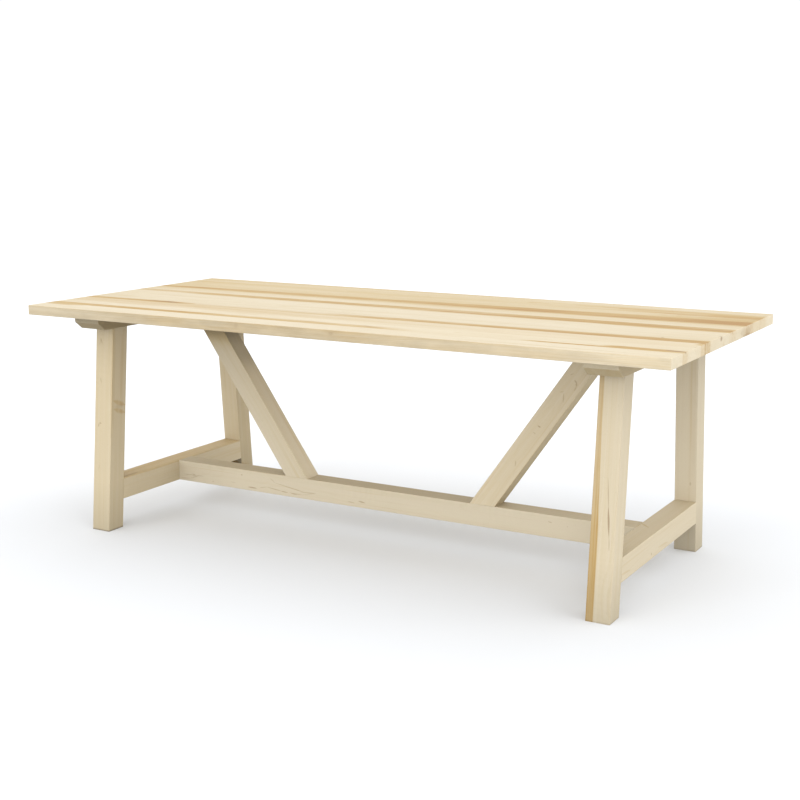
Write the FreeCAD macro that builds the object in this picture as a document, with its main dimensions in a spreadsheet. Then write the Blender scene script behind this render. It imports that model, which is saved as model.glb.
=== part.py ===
import FreeCAD, Part
import Sketcher
import math
import os

# A-frame trestle dining table in solid maple.
#
# Frame: origin on the floor under the middle of the top, X along the length of
# the top, Y across it and Z up.  Each end frame is two legs that splay outward
# in Y, joined by a head beam under the top and by a cross stretcher near the
# floor.  A long stretcher ties the two end frames together and carries two
# diagonal braces that rise outward to the underside of the top.

doc = FreeCAD.newDocument("TrestleTable")
sheet = doc.addObject("Spreadsheet::Sheet", "Sizes")

# Driving dimensions in millimetres and degrees: alias, value, meaning.
DIMENSIONS = [
    ("table_height", 765, "floor to the upper face of the top"),
    ("top_length", 2200, "top, along the grain"),
    ("top_thickness", 32, "all boards of the top"),
    ("board_width_1", 92, "boards of the top, counted from the front edge"),
    ("board_width_2", 189, ""),
    ("board_width_3", 147, ""),
    ("board_width_4", 157, ""),
    ("board_width_5", 99, ""),
    ("board_width_6", 157, ""),
    ("board_width_7", 159, ""),
    ("top_edge_round", 2, "radius on the outer arrises of the top"),
    ("loose_tenon_thickness", 10, "upright; loose tenons in the glued board joints"),
    ("loose_tenon_width", 40, "along X"),
    ("loose_tenon_length", 50, "along Y, half of it in each board"),
    ("loose_tenon_inset", 120, "end of the top to the middle of the last loose tenon"),
    ("end_overhang", 170.5, "end of the top to the outer face of a leg"),
    ("leg_size", 72, "square section of a leg"),
    ("foot_spread", 841, "across the outer edges of the feet of one end frame"),
    ("splay_angle", 4.8, "lean of each leg from the vertical"),
    ("leg_tenon_thickness", 24, "along X"),
    ("leg_tenon_width", 48, "along Y"),
    ("leg_tenon_length", 30, "up into the head beam"),
    ("beam_width", 102, "head beam, along X"),
    ("beam_length", 900, "head beam, along Y"),
    ("beam_thickness", 44, "head beam, top to underside"),
    ("beam_end_height", 20, "upright part of the end of a head beam"),
    ("beam_bevel_run", 32, "bevel under the end of a head beam, along Y"),
    ("beam_chamfer", 1.5, "on the exposed arrises of a head beam"),
    ("stretcher_size", 72, "square section of the three stretchers"),
    ("stretcher_clearance", 97, "floor to the underside of the stretchers"),
    ("stretcher_tenon_thickness", 24, "across the stretcher, level"),
    ("stretcher_tenon_width", 46, "upright"),
    ("stretcher_tenon_length", 32, ""),
    ("brace_size", 72, "square section of a brace"),
    ("brace_angle", 55, "brace above the horizontal"),
    ("brace_head_gap", 51.5, "outer toe of a brace's head to the head beam, along X"),
    ("brace_tenon_thickness", 24, "along Y"),
    ("brace_tenon_width", 50, "along X"),
    ("brace_tenon_length", 25, "down into the long stretcher"),
    ("arris_round", 2, "radius on the long edges of the base members"),
    ("joint_clearance", 0.1, "each side of a tenon or screw shank"),
    ("mortise_end_gap", 1, "glue space beyond the end of a tenon"),
    ("screw_diameter", 5, "shank of the screws that hold the top down"),
    ("screw_head_diameter", 11, ""),
    ("screw_head_height", 3.5, ""),
    ("screw_tip_length", 5, ""),
    ("screw_bite", 20, "depth of screw in the top"),
    ("outer_screw_y", 393, "outer top screws, from the middle one"),
    ("screw_slot_travel", 8, "room at the outer screws for the top to swell and shrink"),
    ("screw_slot_play", 0.3, "slot in a head beam on each side of a screw"),
    ("screw_recess_depth", 7, "in a head beam, for screw head and washer"),
    ("washer_diameter", 18, ""),
    ("washer_thickness", 1.5, ""),
    ("washer_play", 0.5, "recess in a head beam around a washer"),
    ("brace_screw_inset", 30, "outer toe of a brace's head to its screw, along X"),
    ("brace_screw_seat", 24, "wood between the brace screw's head and the top"),
    ("brace_counterbore_diameter", 14, ""),
]
BOARDS = 7
LOOSE_TENONS_PER_JOINT = 5

for row, (alias, value, meaning) in enumerate(DIMENSIONS, start=1):
    sheet.set(f"A{row}", meaning)
    sheet.set(f"B{row}", str(value))
    sheet.setAlias(f"B{row}", alias)
doc.recompute()


# Places worked out from the driving dimensions, as expressions on the sheet.
TOP_UNDERSIDE = "(Sizes.table_height - Sizes.top_thickness)"
BEAM_UNDERSIDE = f"({TOP_UNDERSIDE} - Sizes.beam_thickness)"
LEG_CENTRE_X = "(Sizes.top_length / 2 - Sizes.end_overhang - Sizes.leg_size / 2)"
STRETCHER_TOP = "(Sizes.stretcher_clearance + Sizes.stretcher_size)"
STRETCHER_MIDDLE = "(Sizes.stretcher_clearance + Sizes.stretcher_size / 2)"
SPLAY = "tan(Sizes.splay_angle * 1deg)"
LEG_LEVEL_DEPTH = "(Sizes.leg_size / cos(Sizes.splay_angle * 1deg))"
BRACE_LEVEL_WIDTH = "(Sizes.brace_size / sin(Sizes.brace_angle * 1deg))"
BRACE_SLOPE = "(1 / tan(Sizes.brace_angle * 1deg))"
BEAM_SCREW_SEAT_Z = f"({BEAM_UNDERSIDE} + Sizes.screw_recess_depth)"
BRACE_HEAD_X = f"({LEG_CENTRE_X} - Sizes.beam_width / 2 - Sizes.brace_head_gap)"
BRACE_FOOT_X = f"({BRACE_HEAD_X} - ({TOP_UNDERSIDE} - {STRETCHER_TOP}) * {BRACE_SLOPE})"
BRACE_SCREW_X = f"({BRACE_HEAD_X} - Sizes.brace_screw_inset)"
BRACE_SCREW_SEAT_Z = f"({TOP_UNDERSIDE} - Sizes.brace_screw_seat)"
FRONT_SCREW_Y = "(-1 * Sizes.outer_screw_y)"
BACK_SCREW_Y = "Sizes.outer_screw_y"
TOP_WIDTH = "(" + " + ".join(f"Sizes.board_width_{n}" for n in range(1, BOARDS + 1)) + ")"
PILOT_RADIUS = "(Sizes.screw_diameter / 2 + Sizes.joint_clearance)"


def leg_outer_y(z):
    """Outer edge of a leg at height z."""
    return f"(Sizes.foot_spread / 2 - ({z}) * {SPLAY})"


def leg_inner_y(z):
    """Inner edge of a leg at height z."""
    return f"({leg_outer_y(z)} - {LEG_LEVEL_DEPTH})"


def joint_y(number):
    """Front edge of board number + 1, which is the back edge of board number."""
    passed = [f" + Sizes.board_width_{n}" for n in range(1, number + 1)]
    return f"(-{TOP_WIDTH} / 2" + "".join(passed) + ")"


def value(expression):
    """The number that an expression on the sheet stands for."""
    result = sheet.evalExpression(expression)
    return float(getattr(result, "Value", result))


# Bodies, sketches and features.
def new_body(label):
    body = doc.addObject("PartDesign::Body", label)
    body.Label = label
    return body


def new_sketch(body, name, role, offset="0"):
    """A sketch on one of the body's origin planes, moved along the plane's normal."""
    sketch = body.newObject("Sketcher::SketchObject", f"{body.Name}_{name}")
    plane = next(item for item in body.Origin.OriginFeatures if item.Role == role)
    sketch.AttachmentSupport = (plane, [""])
    sketch.MapMode = "FlatFace"
    sketch.setExpression("AttachmentOffset.Base.z", offset)
    return sketch


def pin(sketch, kind, geometry, point, expression):
    """Hold one coordinate of a point, counted from the sketch's origin."""
    number = sketch.addConstraint(
        Sketcher.Constraint(kind, -1, 1, geometry, point, value(expression))
    )
    sketch.setExpression(f"Constraints[{number}]", expression)


def add_polygon(sketch, corners):
    """A closed outline through corners, each a pair of expressions."""
    points = [FreeCAD.Vector(value(u), value(v), 0) for u, v in corners]
    first = sketch.GeometryCount
    count = len(points)
    for n in range(count):
        sketch.addGeometry(Part.LineSegment(points[n], points[(n + 1) % count]))
    for n in range(count):
        follower = first + (n + 1) % count
        sketch.addConstraint(Sketcher.Constraint("Coincident", first + n, 2, follower, 1))
    for n, (u, v) in enumerate(corners):
        pin(sketch, "DistanceX", first + n, 1, u)
        pin(sketch, "DistanceY", first + n, 1, v)


def add_circle(sketch, u, v, radius):
    centre = FreeCAD.Vector(value(u), value(v), 0)
    circle = sketch.addGeometry(Part.Circle(centre, FreeCAD.Vector(0, 0, 1), value(radius)))
    pin(sketch, "DistanceX", circle, 3, u)
    pin(sketch, "DistanceY", circle, 3, v)
    number = sketch.addConstraint(Sketcher.Constraint("Radius", circle, value(radius)))
    sketch.setExpression(f"Constraints[{number}]", radius)


def add_slot(sketch, v, radius):
    """A round-ended slot on the sketch's vertical axis, longer by screw_slot_travel."""
    normal = FreeCAD.Vector(0, 0, 1)
    reach = value("Sizes.screw_slot_travel / 2")
    r = value(radius)
    upper = FreeCAD.Vector(0, value(v) + reach, 0)
    lower = FreeCAD.Vector(0, value(v) - reach, 0)
    side = FreeCAD.Vector(r, 0, 0)
    top_arc = sketch.addGeometry(Part.ArcOfCircle(Part.Circle(upper, normal, r), 0, math.pi))
    left = sketch.addGeometry(Part.LineSegment(upper - side, lower - side))
    low_arc = sketch.addGeometry(Part.ArcOfCircle(Part.Circle(lower, normal, r), math.pi, 2 * math.pi))
    right = sketch.addGeometry(Part.LineSegment(lower + side, upper + side))
    sketch.addConstraint(Sketcher.Constraint("Tangent", top_arc, 2, left, 1))
    sketch.addConstraint(Sketcher.Constraint("Tangent", left, 2, low_arc, 1))
    sketch.addConstraint(Sketcher.Constraint("Tangent", low_arc, 2, right, 1))
    sketch.addConstraint(Sketcher.Constraint("Tangent", right, 2, top_arc, 1))
    sketch.addConstraint(Sketcher.Constraint("PointOnObject", top_arc, 3, -2))
    sketch.addConstraint(Sketcher.Constraint("PointOnObject", low_arc, 3, -2))
    pin(sketch, "DistanceY", top_arc, 3, f"{v} + Sizes.screw_slot_travel / 2")
    pin(sketch, "DistanceY", low_arc, 3, f"{v} - Sizes.screw_slot_travel / 2")
    number = sketch.addConstraint(Sketcher.Constraint("Radius", top_arc, r))
    sketch.setExpression(f"Constraints[{number}]", radius)


def extrude(body, kind, sketch, length, both_ways=False, reverse=False):
    """A Pad or Pocket of a sketch, whose length is an expression."""
    feature = body.newObject(f"PartDesign::{kind}", f"{sketch.Name}_{kind.lower()}")
    feature.Profile = sketch
    feature.SideType = "Symmetric" if both_ways else "One side"
    feature.Reversed = reverse
    feature.setExpression("Length", length)
    sketch.Visibility = False
    doc.recompute()
    return feature


def profile(body, name, role, corners, kind, length):
    """A Pad or Pocket of an outline, by half its length to each side of the plane."""
    sketch = new_sketch(body, name, role)
    add_polygon(sketch, corners)
    return extrude(body, kind, sketch, length, both_ways=True)


def edge_names(feature, wanted):
    return [f"Edge{n}" for n, edge in enumerate(feature.Shape.Edges, start=1) if wanted(edge)]


def edge_direction(edge):
    first, last = edge.Vertexes[0].Point, edge.Vertexes[-1].Point
    return (last - first).normalize()


def round_edges(body, feature, names, radius):
    fillet = body.newObject("PartDesign::Fillet", f"{body.Name}_rounds")
    fillet.Base = (feature, names)
    fillet.setExpression("Radius", radius)
    doc.recompute()


def bevel_edges(body, feature, names, size):
    chamfer = body.newObject("PartDesign::Chamfer", f"{body.Name}_chamfers")
    chamfer.Base = (feature, names)
    chamfer.setExpression("Size", size)
    doc.recompute()


def place(body, x="0", turned=False):
    """Move a body along X and, for the far side, turn it half round about Z."""
    body.setExpression("Placement.Base.x", x)
    body.setExpression("Placement.Rotation.Angle", "180deg" if turned else "0deg")
    body.Placement.Rotation.Axis = FreeCAD.Vector(0, 0, 1)


def rectangle(u_low, u_high, v_low, v_high):
    return [(u_low, v_low), (u_high, v_low), (u_high, v_high), (u_low, v_high)]


def centred(middle, width, margin="0"):
    """The low and high side of a width about a middle, grown by a margin each way."""
    half = f"({width} / 2 + {margin})"
    return f"({middle} - {half})", f"({middle} + {half})"


CLEAR = "Sizes.joint_clearance"
END_GAP = "Sizes.mortise_end_gap"


# The top: seven boards glued edge to edge on loose tenons.
def add_loose_tenon_row(body, number, margin="0"):
    """The loose tenons' outlines in the plane of one board joint, grown by a margin."""
    sketch = new_sketch(body, f"joint_{number}", "XZ_Plane", offset=f"-{joint_y(number)}")
    middle = f"({TOP_UNDERSIDE} + Sizes.top_thickness / 2)"
    z_low, z_high = centred(middle, "Sizes.loose_tenon_thickness", margin)
    reach = "(Sizes.top_length / 2 - Sizes.loose_tenon_inset)"
    steps = (LOOSE_TENONS_PER_JOINT - 1) / 2
    for n in range(LOOSE_TENONS_PER_JOINT):
        x_low, x_high = centred(f"{n / steps - 1} * {reach}", "Sizes.loose_tenon_width", margin)
        add_polygon(sketch, rectangle(x_low, x_high, z_low, z_high))
    return sketch


def add_screw_pilots(body):
    """Pilot holes for every screw that enters the top from below."""
    sketch = new_sketch(body, "pilots", "XY_Plane", offset=TOP_UNDERSIDE)
    for side in (-1, 1):
        for y in (FRONT_SCREW_Y, "0", BACK_SCREW_Y):
            add_circle(sketch, f"({side} * {LEG_CENTRE_X})", y, PILOT_RADIUS)
        add_circle(sketch, f"({side} * {BRACE_SCREW_X})", "0", PILOT_RADIUS)
    extrude(body, "Pocket", sketch, f"Sizes.screw_bite + {END_GAP}", reverse=True)


def make_board(number):
    body = new_body(f"top_board_{number}")
    section = rectangle(joint_y(number - 1), joint_y(number), TOP_UNDERSIDE, "Sizes.table_height")
    blank = profile(body, "section", "YZ_Plane", section, "Pad", "Sizes.top_length")
    bounds = blank.Shape.BoundBox

    def on_outside(edge):
        middle = edge.CenterOfMass
        at_end = abs(abs(middle.x) - bounds.XMax) < 0.01
        at_front = number == 1 and abs(middle.y - bounds.YMin) < 0.01
        at_back = number == BOARDS and abs(middle.y - bounds.YMax) < 0.01
        upright = abs(edge_direction(edge).z) > 0.5
        return (at_front or at_back or at_end) and not upright

    round_edges(body, blank, edge_names(blank, on_outside), "Sizes.top_edge_round")
    for joint in (number - 1, number):
        if 0 < joint < BOARDS:
            row = add_loose_tenon_row(body, joint, margin=CLEAR)
            reach = f"Sizes.loose_tenon_length + 2 * {END_GAP}"
            extrude(body, "Pocket", row, reach, both_ways=True)
    add_screw_pilots(body)
    return body


def make_loose_tenons():
    body = new_body("loose_tenons")
    for joint in range(1, BOARDS):
        row = add_loose_tenon_row(body, joint)
        extrude(body, "Pad", row, "Sizes.loose_tenon_length", both_ways=True)
    return body


# The end frames.
def make_leg(label, x, front):
    """A leg with level ends, a stub tenon on top and a mortise for the cross stretcher."""
    body = new_body(label)
    outline = [
        (leg_inner_y("0"), "0"),
        (leg_outer_y("0"), "0"),
        (leg_outer_y(BEAM_UNDERSIDE), BEAM_UNDERSIDE),
        (leg_inner_y(BEAM_UNDERSIDE), BEAM_UNDERSIDE),
    ]
    blank = profile(body, "side", "YZ_Plane", outline, "Pad", "Sizes.leg_size")
    long_edges = edge_names(blank, lambda edge: abs(edge_direction(edge).z) > 0.9)
    round_edges(body, blank, long_edges, "Sizes.arris_round")

    middle = f"({leg_outer_y(BEAM_UNDERSIDE)} - {LEG_LEVEL_DEPTH} / 2)"
    y_low, y_high = centred(middle, "Sizes.leg_tenon_width")
    tenon_end = f"({BEAM_UNDERSIDE} + Sizes.leg_tenon_length)"
    tenon = rectangle(y_low, y_high, BEAM_UNDERSIDE, tenon_end)
    profile(body, "tenon", "YZ_Plane", tenon, "Pad", "Sizes.leg_tenon_thickness")

    z_low, z_high = centred(STRETCHER_MIDDLE, "Sizes.stretcher_tenon_width", CLEAR)
    depth = f"(Sizes.stretcher_tenon_length + {END_GAP})"
    mortise = [
        (leg_inner_y(z_low), z_low),
        (f"({leg_inner_y(z_low)} + {depth})", z_low),
        (f"({leg_inner_y(z_high)} + {depth})", z_high),
        (leg_inner_y(z_high), z_high),
    ]
    width = f"Sizes.stretcher_tenon_thickness + 2 * {CLEAR}"
    profile(body, "mortise", "YZ_Plane", mortise, "Pocket", width)
    place(body, x, turned=front)
    return body


def screw_hole_row(body, name, level, middle_radius, slot_radius):
    """A sketch at a level with a round hole in mid-beam and a slot at each end."""
    sketch = new_sketch(body, name, "XY_Plane", offset=level)
    add_circle(sketch, "0", "0", middle_radius)
    add_slot(sketch, FRONT_SCREW_Y, slot_radius)
    add_slot(sketch, BACK_SCREW_Y, slot_radius)
    return sketch


def make_head_beam(label, x):
    """The cleat across the two leg tops, bevelled under both ends."""
    body = new_body(label)
    end = "Sizes.beam_length / 2"
    bevel_top = f"({TOP_UNDERSIDE} - Sizes.beam_end_height)"
    flat_end = f"({end} - Sizes.beam_bevel_run)"
    outline = [
        (f"-{end}", TOP_UNDERSIDE),
        (f"-{end}", bevel_top),
        (f"-{flat_end}", BEAM_UNDERSIDE),
        (flat_end, BEAM_UNDERSIDE),
        (end, bevel_top),
        (end, TOP_UNDERSIDE),
    ]
    blank = profile(body, "side", "YZ_Plane", outline, "Pad", "Sizes.beam_width")
    upper_face = blank.Shape.BoundBox.ZMax
    exposed = edge_names(blank, lambda edge: edge.BoundBox.ZMin < upper_face - 1)
    bevel_edges(body, blank, exposed, "Sizes.beam_chamfer")

    middle = f"({leg_outer_y(BEAM_UNDERSIDE)} - {LEG_LEVEL_DEPTH} / 2)"
    mortise_end = f"({BEAM_UNDERSIDE} + Sizes.leg_tenon_length + {END_GAP})"
    width = f"Sizes.leg_tenon_thickness + 2 * {CLEAR}"
    for name, side in (("front_mortise", "-1"), ("back_mortise", "1")):
        y_low, y_high = centred(f"{side} * {middle}", "Sizes.leg_tenon_width", CLEAR)
        mortise = rectangle(y_low, y_high, BEAM_UNDERSIDE, mortise_end)
        profile(body, name, "YZ_Plane", mortise, "Pocket", width)

    recess_radius = "(Sizes.washer_diameter / 2 + Sizes.washer_play)"
    recesses = screw_hole_row(body, "recesses", BEAM_UNDERSIDE, recess_radius, recess_radius)
    extrude(body, "Pocket", recesses, "Sizes.screw_recess_depth", reverse=True)
    slot_radius = "(Sizes.screw_diameter / 2 + Sizes.screw_slot_play)"
    shanks = screw_hole_row(body, "shanks", BEAM_SCREW_SEAT_Z, PILOT_RADIUS, slot_radius)
    extrude(body, "Pocket", shanks, "Sizes.beam_thickness", reverse=True)
    place(body, x)
    return body


def make_cross_stretcher(label, x, turned):
    """Between the legs of one end frame: shoulders cut to the splay, level tenons."""
    body = new_body(label)
    low, high = "Sizes.stretcher_clearance", STRETCHER_TOP
    outline = [
        (f"-{leg_inner_y(low)}", low),
        (leg_inner_y(low), low),
        (leg_inner_y(high), high),
        (f"-{leg_inner_y(high)}", high),
    ]
    blank = profile(body, "side", "YZ_Plane", outline, "Pad", "Sizes.stretcher_size")
    long_edges = edge_names(blank, lambda edge: abs(edge_direction(edge).y) > 0.9)
    round_edges(body, blank, long_edges, "Sizes.arris_round")

    z_low, z_high = centred(STRETCHER_MIDDLE, "Sizes.stretcher_tenon_width")
    reach = "Sizes.stretcher_tenon_length"
    tenons = [
        (f"-({leg_inner_y(z_low)} + {reach})", z_low),
        (f"({leg_inner_y(z_low)} + {reach})", z_low),
        (f"({leg_inner_y(z_high)} + {reach})", z_high),
        (f"-({leg_inner_y(z_high)} + {reach})", z_high),
    ]
    profile(body, "tenons", "YZ_Plane", tenons, "Pad", "Sizes.stretcher_tenon_thickness")

    mortise = new_sketch(body, "mortise", "YZ_Plane", offset="Sizes.stretcher_size / 2")
    z_low, z_high = centred(STRETCHER_MIDDLE, "Sizes.stretcher_tenon_width", CLEAR)
    y_low, y_high = centred("0", "Sizes.stretcher_tenon_thickness", CLEAR)
    add_polygon(mortise, rectangle(y_low, y_high, z_low, z_high))
    extrude(body, "Pocket", mortise, f"Sizes.stretcher_tenon_length + {END_GAP}")
    place(body, x, turned)
    return body


# What ties the end frames together.
def make_long_stretcher():
    """From cross stretcher to cross stretcher, with mortises on top for the braces."""
    body = new_body("long_stretcher")
    length = f"(2 * {LEG_CENTRE_X} - Sizes.stretcher_size)"
    y_low, y_high = centred("0", "Sizes.stretcher_size")
    section = rectangle(y_low, y_high, "Sizes.stretcher_clearance", STRETCHER_TOP)
    blank = profile(body, "section", "YZ_Plane", section, "Pad", length)
    long_edges = edge_names(blank, lambda edge: abs(edge_direction(edge).x) > 0.9)
    round_edges(body, blank, long_edges, "Sizes.arris_round")

    y_low, y_high = centred("0", "Sizes.stretcher_tenon_thickness")
    z_low, z_high = centred(STRETCHER_MIDDLE, "Sizes.stretcher_tenon_width")
    tenons = rectangle(y_low, y_high, z_low, z_high)
    reach = f"{length} + 2 * Sizes.stretcher_tenon_length"
    profile(body, "tenons", "YZ_Plane", tenons, "Pad", reach)

    floor = f"({STRETCHER_TOP} - Sizes.brace_tenon_length - {END_GAP})"
    width = f"Sizes.brace_tenon_thickness + 2 * {CLEAR}"
    for name, side in (("left_mortise", "-1"), ("right_mortise", "1")):
        middle = f"{side} * ({BRACE_FOOT_X} - {BRACE_LEVEL_WIDTH} / 2)"
        x_low, x_high = centred(middle, "Sizes.brace_tenon_width", CLEAR)
        mortise = rectangle(x_low, x_high, floor, STRETCHER_TOP)
        profile(body, name, "XZ_Plane", mortise, "Pocket", width)
    return body


def make_brace(label, turned):
    """A diagonal brace with level ends, a foot tenon and one screw up into the top."""
    body = new_body(label)
    outline = [
        (f"({BRACE_FOOT_X} - {BRACE_LEVEL_WIDTH})", STRETCHER_TOP),
        (BRACE_FOOT_X, STRETCHER_TOP),
        (BRACE_HEAD_X, TOP_UNDERSIDE),
        (f"({BRACE_HEAD_X} - {BRACE_LEVEL_WIDTH})", TOP_UNDERSIDE),
    ]
    blank = profile(body, "side", "XZ_Plane", outline, "Pad", "Sizes.brace_size")
    long_edges = edge_names(blank, lambda edge: abs(edge_direction(edge).z) > 0.5)
    round_edges(body, blank, long_edges, "Sizes.arris_round")

    middle = f"({BRACE_FOOT_X} - {BRACE_LEVEL_WIDTH} / 2)"
    x_low, x_high = centred(middle, "Sizes.brace_tenon_width")
    tenon_end = f"({STRETCHER_TOP} - Sizes.brace_tenon_length)"
    tenon = rectangle(x_low, x_high, tenon_end, STRETCHER_TOP)
    profile(body, "tenon", "XZ_Plane", tenon, "Pad", "Sizes.brace_tenon_thickness")

    recess = new_sketch(body, "recess", "XY_Plane", offset=BRACE_SCREW_SEAT_Z)
    add_circle(recess, BRACE_SCREW_X, "0", "Sizes.brace_counterbore_diameter / 2")
    extrude(body, "Pocket", recess, "Sizes.brace_size")
    shank = new_sketch(body, "shank", "XY_Plane", offset=BRACE_SCREW_SEAT_Z)
    add_circle(shank, BRACE_SCREW_X, "0", PILOT_RADIUS)
    extrude(body, "Pocket", shank, "Sizes.brace_screw_seat", reverse=True)
    place(body, turned=turned)
    return body


# Screws and washers: one turned form each, repeated by mirroring.
def turned_form(body, name, x, y, z, corners):
    """A revolved outline about the vertical through x, y, with its zero height at z."""
    sketch = new_sketch(body, name, "XZ_Plane", offset=f"-{y}")
    sketch.setExpression("AttachmentOffset.Base.x", x)
    sketch.setExpression("AttachmentOffset.Base.y", z)
    add_polygon(sketch, corners)
    form = body.newObject("PartDesign::Revolution", f"{sketch.Name}_turned")
    form.Profile = sketch
    form.ReferenceAxis = (sketch, ["V_Axis"])
    form.Angle = 360
    sketch.Visibility = False
    doc.recompute()
    return form


def mirror_to_left(body, forms):
    """Repeat the forms at the right end of the table at its left end."""
    mirror = body.newObject("PartDesign::Mirrored", f"{body.Name}_mirrored")
    mirror.Originals = forms
    plane = next(item for item in body.Origin.OriginFeatures if item.Role == "YZ_Plane")
    mirror.MirrorPlane = (plane, [""])
    body.Tip = mirror
    doc.recompute()


def screw_outline(length):
    """Half a screw: its head hangs below zero, where it bears, and its shank stands above."""
    shank = "Sizes.screw_diameter / 2"
    head = "Sizes.screw_head_diameter / 2"
    return [
        ("0", "-Sizes.screw_head_height"),
        (head, "-Sizes.screw_head_height"),
        (head, "0"),
        (shank, "0"),
        (shank, f"({length} - Sizes.screw_tip_length)"),
        ("0", length),
    ]


def add_top_screw(body, name, y, seat):
    length = f"({TOP_UNDERSIDE} + Sizes.screw_bite - {seat})"
    return turned_form(body, name, LEG_CENTRE_X, y, seat, screw_outline(length))


def make_top_screws():
    """In mid-beam a screw holds the top fast; the outer ones slide in their slots on washers."""
    body = new_body("top_screws")
    sliding_seat = f"({BEAM_SCREW_SEAT_Z} - Sizes.washer_thickness)"
    forms = [
        add_top_screw(body, "front", FRONT_SCREW_Y, sliding_seat),
        add_top_screw(body, "middle", "0", BEAM_SCREW_SEAT_Z),
        add_top_screw(body, "back", BACK_SCREW_Y, sliding_seat),
    ]
    mirror_to_left(body, forms)
    return body


def make_top_washers():
    body = new_body("top_washers")
    outline = rectangle(PILOT_RADIUS, "Sizes.washer_diameter / 2", "-Sizes.washer_thickness", "0")
    forms = [
        turned_form(body, "front", LEG_CENTRE_X, FRONT_SCREW_Y, BEAM_SCREW_SEAT_Z, outline),
        turned_form(body, "back", LEG_CENTRE_X, BACK_SCREW_Y, BEAM_SCREW_SEAT_Z, outline),
    ]
    mirror_to_left(body, forms)
    return body


def make_brace_screws():
    body = new_body("brace_screws")
    outline = screw_outline("(Sizes.brace_screw_seat + Sizes.screw_bite)")
    form = turned_form(body, "right", BRACE_SCREW_X, "0", BRACE_SCREW_SEAT_Z, outline)
    mirror_to_left(body, [form])
    return body


nodes = [make_board(number) for number in range(1, BOARDS + 1)]
nodes.append(make_loose_tenons())
for side, x in (("left", f"-{LEG_CENTRE_X}"), ("right", LEG_CENTRE_X)):
    nodes.append(make_head_beam(f"head_beam_{side}", x))
    nodes.append(make_leg(f"leg_front_{side}", x, front=True))
    nodes.append(make_leg(f"leg_back_{side}", x, front=False))
    nodes.append(make_cross_stretcher(f"cross_stretcher_{side}", x, turned=side == "right"))
nodes.append(make_long_stretcher())
nodes.append(make_brace("brace_left", turned=True))
nodes.append(make_brace("brace_right", turned=False))
nodes.append(make_top_screws())
nodes.append(make_top_washers())
nodes.append(make_brace_screws())
doc.recompute()

for item in doc.Objects:
    if "Invalid" in item.State or "Error" in item.State:
        raise RuntimeError(f"{item.Name} did not recompute: {item.State}")
for node in nodes:
    if node.Shape.isNull() or not node.Shape.isValid():
        raise RuntimeError(f"{node.Label} has no valid shape")

os.makedirs("parts", exist_ok=True)
for node in nodes:
    node.Shape.exportStep(os.path.join("parts", f"{node.Label}.step"))
    box = node.Shape.BoundBox
    print(
        f"{node.Label}: {len(node.Shape.Solids)} solid(s), "
        f"{box.XLength:.1f} x {box.YLength:.1f} x {box.ZLength:.1f} mm"
    )
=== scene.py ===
import math

import bpy
from mathutils import Matrix, Vector


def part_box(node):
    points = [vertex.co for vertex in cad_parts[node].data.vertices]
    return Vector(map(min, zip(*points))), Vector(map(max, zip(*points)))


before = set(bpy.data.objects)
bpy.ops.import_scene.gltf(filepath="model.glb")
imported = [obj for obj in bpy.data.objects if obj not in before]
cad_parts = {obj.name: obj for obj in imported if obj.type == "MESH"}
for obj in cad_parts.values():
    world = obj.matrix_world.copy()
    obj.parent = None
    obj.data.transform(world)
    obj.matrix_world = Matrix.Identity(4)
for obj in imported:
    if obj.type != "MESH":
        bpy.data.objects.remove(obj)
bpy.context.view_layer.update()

# Trestle dining table in solid maple.  Metres, in the frame of the CAD model:
# X along the length of the top, Y across it, Z up, origin on the floor.

# Colours, linear.
CREAM = (0.520, 0.456, 0.340)
TAN = (0.435, 0.342, 0.193)
AMBER = (0.385, 0.264, 0.102)
CORE = (0.310, 0.180, 0.062)
KNOT = (0.190, 0.108, 0.045)
ZINC = (0.55, 0.56, 0.57)
DULL_ZINC = (0.38, 0.39, 0.41)
FLOOR = (0.575, 0.589, 0.609)
WHITE = (1.0, 1.0, 1.0)

RING_WIDTH = 0.0032


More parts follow.
